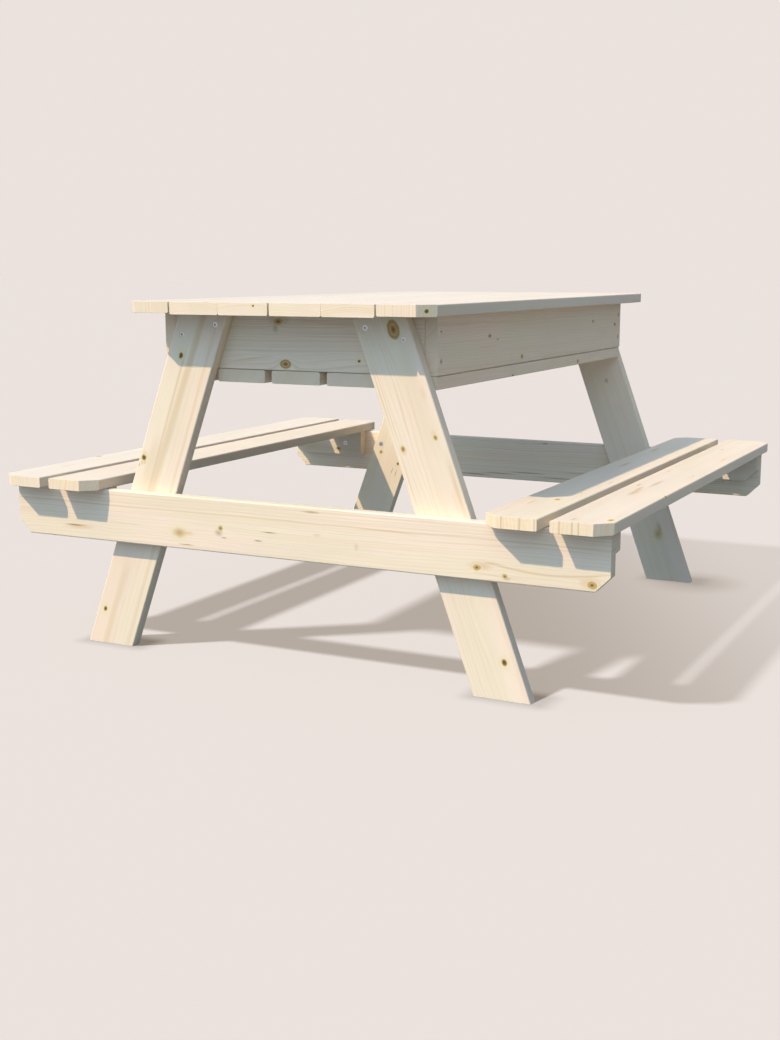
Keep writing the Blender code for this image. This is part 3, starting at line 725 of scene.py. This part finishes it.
class LidBoards(bpy.types.Operator):
    """Make the four boards of the two lids"""
    bl_idname = "picnic_table.lid_boards"
    bl_label = "Lid boards"

    def execute(self, context):
        return dress_boards("lid_boards", lambda node: node.startswith("lid") and node.endswith("board"), True)


class BoxBoards(bpy.types.Operator):
    """Make the aprons and the slatted floor of the play box"""
    bl_idname = "picnic_table.box_boards"
    bl_label = "Box boards"

    def execute(self, context):
        return dress_boards("box_boards", lambda node: node.startswith(("apron", "floor")))


class Legs(bpy.types.Operator):
    """Make the four splayed legs"""
    bl_idname = "picnic_table.legs"
    bl_label = "Legs"

    def execute(self, context):
        return dress_boards("legs", lambda node: node.startswith("leg_") and "screw" not in node)


class Beams(bpy.types.Operator):
    """Make the two cross beams that carry the seats"""
    bl_idname = "picnic_table.beams"
    bl_label = "Beams"

    def execute(self, context):
        return dress_boards("beams", lambda node: node in ("beam_front", "beam_back"))


class Battens(bpy.types.Operator):
    """Make the seat battens, lid battens and cleats"""
    bl_idname = "picnic_table.battens"
    bl_label = "Battens"

    def execute(self, context):
        return dress_boards(
            "battens", lambda node: node.endswith("batten") or node.startswith(("seat_batten", "top_cleat")))


class SeatPlanks(bpy.types.Operator):
    """Make the four seat planks"""
    bl_idname = "picnic_table.seat_planks"
    bl_label = "Seat planks"

    def execute(self, context):
        return dress_boards("seat_planks", lambda node: node.startswith("seat") and node.endswith("plank"), True)


# Screws.

SCREW_STEPS = 36
SCREW_RIM = 0.00015
SCREW_TIP = 0.004
SCREW_SHARP = radians(34)
DRIVE_DEPTH = 0.0018
DRIVE_TAPER = 0.00012
DRIVE_LOBE = 0.16
POCKET_ROOM = 0.00015
POCKET_TOP = 0.0008
# Painted shade: the corner screws' zinc is darker, for heads that sit in shade.
PAINTED_SHADE_ZINC = (0.82, 0.75, 0.62)
SEAT_LONG, BATTEN_LONG, FLOOR_LONG, LID_LONG = 0.057, 0.030, 0.030, 0.029
CLEAT_UP_LONG, CLEAT_OUT_LONG = 0.039, 0.0295
SEAT_SPREAD = {"inner": 0.020, "outer": 0.012}
FLOOR_SPREAD = 0.022
LID_SPREAD = (0.022, 0.009)
SIDES = (("left", -1), ("right", 1))
CLEAT_UP = (-0.27, 0.0, 0.27)
CLEAT_OUT = (-0.20, -0.07, 0.07, 0.20)
# Where the sawn corner of a seat batten's outer end starts.
BATTEN_CORNER = 0.4351


class Screw(NamedTuple):
    """A screw: its group, where it enters the wood's surface, the way it goes, and its length."""
    group: str
    place: Vector
    way: Vector
    length: float


def seat_screws():
    """Through each seat batten: up into the two planks, and out into the beam."""
    for end, front in (("front", -1), ("back", 1)):
        for side, left in SIDES:
            low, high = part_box(f"seat_batten_{end}_{side}")
            middle = (low + high) / 2
            for row, apart in SEAT_SPREAD.items():
                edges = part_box(f"seat_{side}_{row}_plank")
                near = max(min(abs(edge.x) for edge in edges), min(abs(low.x), abs(high.x)))
                wide = max(abs(edge.x) for edge in edges) if row == "inner" else BATTEN_CORNER
                centre = (near + wide) / 2
                for step in (-1, 1):
                    place = Vector((left * (centre + step * apart), middle.y, low.z))
                    yield Screw("seat_screws", place, Z_AXIS, SEAT_LONG)
                place = Vector((left * centre, low.y if front > 0 else high.y, middle.z))
                yield Screw("batten_screws", place, Y_AXIS * front, BATTEN_LONG)


def floor_screws():
    """Up through both ends of each floor board into the end aprons."""
    for end in ("front", "back"):
        apron_low, apron_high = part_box(f"apron_{end}")
        for number in range(1, 6):
            low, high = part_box(f"floor_board_{number}")
            for step in (-1, 1):
                centre = (low.x + high.x) / 2
                place = Vector((centre + step * FLOOR_SPREAD, (apron_low.y + apron_high.y) / 2, low.z))
                yield Screw("floor_screws", place, Z_AXIS, FLOOR_LONG)


def lid_screws():
    """Up through each lid batten into both boards."""
    for side in ("left", "right"):
        for end in ("front", "back"):
            low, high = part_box(f"lid_{side}_{end}_batten")
            middle = (low + high) / 2
            for row in ("inner", "outer"):
                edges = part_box(f"lid_{side}_{row}_board")
                centre = (edges[0].x + edges[1].x) / 2
                for step in (-1, 1):
                    place = Vector((centre + step * LID_SPREAD[0], middle.y + step * LID_SPREAD[1], low.z))
                    yield Screw(f"lid_{side}_screws", place, Z_AXIS, LID_LONG)


def cleat_screws():
    """Through each cleat: up into the fixed plank, and out into the side apron."""
    for side, left in SIDES:
        low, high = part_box(f"top_cleat_{side}")
        middle = (low + high) / 2
        inner_face = low.x if left > 0 else high.x
        for along in CLEAT_UP:
            yield Screw("cleat_screws", Vector((middle.x, along, low.z)), Z_AXIS, CLEAT_UP_LONG)
        for along in CLEAT_OUT:
            yield Screw("cleat_screws", Vector((inner_face, along, middle.z)), X_AXIS * left, CLEAT_OUT_LONG)


def hidden_screws():
    """Every screw that the CAD model leaves out."""
    return [*seat_screws(), *floor_screws(), *lid_screws(), *cleat_screws()]


def reaches(screw, low, high):
    """Whether a screw enters a board's box."""
    tip = screw.place + screw.way * screw.length
    return all(min(a, b) < top - JOINT_REACH and max(a, b) > bottom + JOINT_REACH
               for a, b, bottom, top in zip(screw.place, tip, low, high))


def cad_screw(node):
    """The CAD screw of this name, found from its box."""
    low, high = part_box(node)
    size = high - low
    axis = max(range(3), key=lambda n: size[n])
    middle = (low + high) / 2
    inward = -1 if middle[axis] > 0 else 1
    if node.startswith("beam"):
        inward = -inward
    way = Vector((0, 0, 0))
    way[axis] = inward
    sink = bpy.context.scene.table_screws.sink
    head = middle.copy()
    head[axis] = (low if inward > 0 else high)[axis] - inward * sink
    return Screw(node.split("_screw")[0] + "_screws", head, way, size[axis] + sink)


def turned(outline):
    """A closed shape spun round Z from its half outline of (radius, height)."""
    bm = bmesh.new()
    points = [bm.verts.new((radius, 0, height)) for radius, height in outline]
    edges = [bm.edges.new(pair) for pair in zip(points, points[1:])]
    bmesh.ops.spin(
        bm, geom=points + edges, axis=Z_AXIS, cent=(0, 0, 0), angle=2 * pi, steps=SCREW_STEPS, use_merge=True)
    bmesh.ops.remove_doubles(bm, verts=bm.verts, dist=WELD)
    top = outline[0][1]
    rim = [edge for edge in bm.edges if all(abs(vert.co.z - top) < WELD for vert in edge.verts)]
    cap = bmesh.ops.contextual_create(bm, geom=rim)["faces"][0]
    bmesh.ops.recalc_face_normals(bm, faces=bm.faces)
    return bm, cap


def screw_shape(length):
    """A countersunk screw with a six-lobe recess, pointing down from the wood's surface at the origin."""
    settings = bpy.context.scene.table_screws
    head, shank, drive, sink = settings.head / 2, settings.shank / 2, settings.drive / 2, settings.sink
    bm, cap = turned([
        (head - SCREW_RIM, -sink), (head, -sink - SCREW_RIM), (shank, -sink - head + shank - SCREW_RIM),
        (shank, SCREW_TIP - length), (0, -length)])
    bmesh.ops.inset_individual(bm, faces=[cap], thickness=head - SCREW_RIM - drive, use_even_offset=True)
    for vert in cap.verts:
        swell = 1 + DRIVE_LOBE * cos(6 * atan2(vert.co.y, vert.co.x))
        vert.co.x *= swell
        vert.co.y *= swell
    bmesh.ops.inset_individual(bm, faces=[cap], thickness=DRIVE_TAPER, depth=-DRIVE_DEPTH, use_even_offset=True)
    bmesh.ops.poke(bm, faces=[cap], offset=-DRIVE_TAPER * 3)
    bmesh.ops.recalc_face_normals(bm, faces=bm.faces)
    return bm


def pocket_shape(length, room):
    """The pocket of such a screw, open at the surface."""
    settings = bpy.context.scene.table_screws
    head, shank = settings.head / 2 + room, settings.shank / 2 + room
    return turned([(head, POCKET_TOP), (head, -settings.sink), (shank, -settings.sink - head + shank),
                   (shank, SCREW_TIP - length), (0, -length - room)])[0]


def screw_group(name, screws, room=None):
    """One mesh of all these screws, or of their pockets where room is given."""
    group = bmesh.new()
    shapes = {}
    for screw in screws:
        if screw.length not in shapes:
            bm = screw_shape(screw.length) if room is None else pocket_shape(screw.length, room)
            shapes[screw.length] = mesh_of(bm, "shape")
        first = len(group.verts)
        group.from_mesh(shapes[screw.length])
        group.verts.ensure_lookup_table()
        place = Matrix.Translation(screw.place) @ screw.way.to_track_quat("-Z", "Y").to_matrix().to_4x4()
        bmesh.ops.transform(group, matrix=place, verts=group.verts[first:])
    shade_smooth(group, SCREW_SHARP)
    mesh = mesh_of(group, name)
    for shape in shapes.values():
        bpy.data.meshes.remove(shape)
    return mesh


class Screws(bpy.types.Operator):
    """Make the screws, those that show and those under the seats, floor, lids and cleats"""
    bl_idname = "picnic_table.screws"
    bl_label = "Screws"

    def execute(self, context):
        zinc, painted_shade = zinc_finish("zinc plate"), zinc_finish("dull zinc plate", PAINTED_SHADE_ZINC)
        shown = {node: cad_screw(node) for node in sorted(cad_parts) if "screw" in node}
        everything = [*shown.values(), *hidden_screws()]
        for group in dict.fromkeys(screw.group for screw in everything):
            body = group.removesuffix("_screws") if group.startswith("lid") else "table_frame"
            screws = [screw for screw in everything if screw.group == group]
            # The corner screws take the darker zinc, as painted shade.
            finish = painted_shade if group.startswith("corner") else zinc
            piece = link(screw_group(group, screws), group, finish, body)
            nodes = [node for node, screw in shown.items() if screw.group == group]
            if nodes:
                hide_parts(*nodes)
        return {"FINISHED"}


# Stage.

KEY_DIRECTION = Vector((0.72, 1, -1.5)).normalized()
CAMERA_PLACE = (0.953122, -1.996644, 0.543790)
CAMERA_TURN = (pi / 2 - 0.1782, 0, 0.4652)
FOCAL_PIXELS, FRAME_HEIGHT, SENSOR = 1398.886, 1040, 36
CAMERA_FAR = 500
FLOOR_HALF = 60.0
FILL_SIDE = (-0.6, -0.8, 0)
# The floor's shadow is painted lighter away from the key light, less so near a foot.
FADE_WAY = (0.83, 0.445, 0)
FADE_REACH = (0.076, 0.641)
FADE_MOST = 0.64
FOOT_REACH = (0.02, 0.11)
FOOT_FADE = 0.3
# A soft painted contact shadow darkens the floor round each foot.
FOOT_WIDTH = 0.0793
FOOT_HALF = Vector((0.045, 0.018, 0))
CONTACT_REACH = (-0.012, 0.030)
CONTACT = {"front": 0.31, "back": 0.12}
SKY_SEEN = 0.85


def backdrop_rays(finish):
    """1 where the backdrop is seen, straight or in a reflection, and 0 where it lights things."""
    path = finish.node("ShaderNodeLightPath", output="Is Camera Ray")
    rays = [Value(finish, path.socket.node.outputs[name])
            for name in ("Is Camera Ray", "Is Glossy Ray", "Is Transmission Ray")]
    return rays[0].maths("MAXIMUM", rays[0].maths("MAXIMUM", rays[0], rays[1]), rays[2])


def add_key(name, level, tone, spread, floor, link_state):
    """The key light, on the floor alone or on all but the floor."""
    lamp = added(name, bpy.data.lights.new(name, "SUN"))
    lamp.rotation_euler = KEY_DIRECTION.to_track_quat("-Z", "Y").to_euler()
    lamp.data.energy = level * pi
    lamp.data.color = tone
    lamp.data.angle = spread
    receivers = bpy.data.collections.new(name + " receivers")
    receivers.objects.link(floor)
    receivers.collection_objects[0].light_linking.link_state = link_state
    lamp.light_linking.receiver_collection = receivers


def add_camera():
    """The camera at the photograph's place."""
    camera = added("camera", bpy.data.cameras.new("camera"))
    camera.location = CAMERA_PLACE
    camera.rotation_euler = CAMERA_TURN
    camera.data.lens = FOCAL_PIXELS / FRAME_HEIGHT * SENSOR
    camera.data.sensor_width = SENSOR
    camera.data.clip_end = CAMERA_FAR
    bpy.context.scene.camera = camera


def surroundings(settings):
    """Soft light from all round, behind a plain backdrop."""
    world = Finish(bpy.data.worlds.new("surroundings"))
    way = world.node("ShaderNodeTexCoord", output="Generated")
    height = world.split(way)[2]
    strength = settings.fill_low + height.maths("MAXIMUM", height, 0.0) * (settings.fill_high - settings.fill_low)
    strength = strength * (1 + world.dot(way, FILL_SIDE) * settings.fill_side)
    soft = world.node("ShaderNodeBackground", None, {"Color": (*settings.fill_tone, 1), "Strength": strength})
    seen = world.node("ShaderNodeBackground", None, {"Color": (*settings.backdrop, 1), "Strength": 1.0})
    mixed = world.node("ShaderNodeMixShader", None, {0: backdrop_rays(world), 1: soft, 2: seen})
    world.node("ShaderNodeOutputWorld", None, {"Surface": mixed})
    return world.owner


def floor_shading(paint):
    """How much lighter the floor's shadow is painted, and how dark the painted contact shadows round the feet are.
    """
    spot = paint.node("ShaderNodeTexCoord", output="Object")
    painted_shadow_fade = paint.dot(spot, FADE_WAY).smooth(*FADE_REACH) * FADE_MOST
    painted_contact_shadow = 0
    for end, darkness in CONTACT.items():
        for side in ("left", "right"):
            low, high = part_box(f"leg_{end}_{side}")
            outer, start = (low.x, low.x) if side == "left" else (high.x, high.x - FOOT_WIDTH)
            foot = paint.vector("DISTANCE", spot, (outer, (low.y + high.y) / 2, 0), output="Value")
            painted_shadow_fade = painted_shadow_fade * (FOOT_FADE + foot.smooth(*FOOT_REACH) * (1 - FOOT_FADE))
            away = paint.vector("SUBTRACT", spot, Vector((start, low.y, 0)) + FOOT_HALF)
            away = paint.vector("SUBTRACT", paint.vector("ABSOLUTE", away), FOOT_HALF)
            away = paint.vector("LENGTH", paint.vector("MAXIMUM", away, (0, 0, 0)), output="Value")
            painted_contact_shadow = painted_contact_shadow + (1 - away.smooth(*CONTACT_REACH)) * darkness
    return painted_shadow_fade, painted_contact_shadow


def floor_finish(settings):
    """The pale floor: what is seen takes a soft shadow and painted contact shadows, and what lights the table is a
    bounce whose sky share the floor gives off as painted light.
    """
    tone, fill, bounce = Vector(settings.backdrop), Vector(settings.fill_tone), Vector(settings.bounce)
    sunlit = Vector(settings.key_tone) * (settings.key_level * -KEY_DIRECTION.z)
    skylit = fill * (settings.fill_low / 3 + settings.fill_high * 2 / 3)
    floor_key = settings.floor_level * -KEY_DIRECTION.z
    on_floor = Vector((floor_key,) * 3) + skylit
    paint = Finish(bpy.data.materials.new("pale floor"))
    painted_shadow_fade, painted_contact_shadow = floor_shading(paint)
    depth = paint.scaled(Vector(settings.shadow_depth) / floor_key, 1 - painted_shadow_fade)
    # The glow carries the painted contact shadows round the feet.
    glow = paint.vector("SUBTRACT", paint.scaled(tone, 1 - painted_contact_shadow), paint.vector("MULTIPLY", depth, on_floor))
    lit = paint.node("ShaderNodeBsdfDiffuse", None, {"Color": depth})
    glowing = paint.node("ShaderNodeEmission", None, {"Color": glow, "Strength": 1.0})
    both = paint.node("ShaderNodeAddShader", None, {0: lit, 1: glowing})
    sun_bounce = paint.node("ShaderNodeBsdfDiffuse", None, {"Color": (*(bounce * sunlit / floor_key), 1)})
    # Painted light: the floor gives off the sky's share of its bounce everywhere, in shadow too.
    painted_sky_bounce = paint.node("ShaderNodeEmission", None, {"Color": (*(bounce * skylit * SKY_SEEN), 1)})
    plain = paint.node("ShaderNodeAddShader", None, {0: sun_bounce, 1: painted_sky_bounce})
    paint.surface(paint.node("ShaderNodeMixShader", None, {0: backdrop_rays(paint), 1: plain, 2: both}))
    return paint.owner


class Stage(bpy.types.Operator):
    """Set the camera, the key light, the soft surrounding light and the floor"""
    bl_idname = "picnic_table.stage"
    bl_label = "Stage"

    def execute(self, context):
        settings = context.scene.table_stage
        add_camera()
        context.scene.world = surroundings(settings)
        bm = bmesh.new()
        bmesh.ops.create_grid(bm, x_segments=1, y_segments=1, size=FLOOR_HALF)
        floor = added("floor", mesh_of(bm, "floor"))
        floor.data.materials.append(floor_finish(settings))
        add_key("key_light", settings.key_level, settings.key_tone, settings.key_spread, floor, "EXCLUDE")
        add_key("floor_light", settings.floor_level, (1, 1, 1), settings.floor_spread, floor, "INCLUDE")
        context.scene.view_settings.view_transform = "Standard"
        return {"FINISHED"}


class TablePanel(bpy.types.Panel):
    """Lists the pieces and their settings"""
    bl_idname = "VIEW3D_PT_picnic_table"
    bl_label = "Picnic table"
    bl_space_type = "VIEW_3D"
    bl_region_type = "UI"
    bl_category = "Picnic table"

    def draw(self, context):
        for group in (context.scene.table_wood, context.scene.table_screws, context.scene.table_stage):
            column = self.layout.column()
            for name in group.bl_rna.properties.keys():
                if name not in ("name", "rna_type"):
                    column.prop(group, name)
        for operator in OPERATORS:
            self.layout.operator(operator.bl_idname)


GROUPS = (WoodSettings, ScrewSettings, StageSettings)
OPERATORS = (TopPlanks, LidBoards, BoxBoards, Legs, Beams, Battens, SeatPlanks, Screws, Stage)


def register():
    for part in (*GROUPS, *OPERATORS, TablePanel):
        bpy.utils.register_class(part)
    bpy.types.Scene.table_wood = PointerProperty(type=WoodSettings)
    bpy.types.Scene.table_screws = PointerProperty(type=ScrewSettings)
    bpy.types.Scene.table_stage = PointerProperty(type=StageSettings)


def unregister():
    del bpy.types.Scene.table_stage
    del bpy.types.Scene.table_screws
    del bpy.types.Scene.table_wood
    for part in reversed((*GROUPS, *OPERATORS, TablePanel)):
        bpy.utils.unregister_class(part)


def main():
    register()
    for operator in OPERATORS:
        group, name = operator.bl_idname.split(".")
        getattr(getattr(bpy.ops, group), name)()


if __name__ == "__main__":
    main()
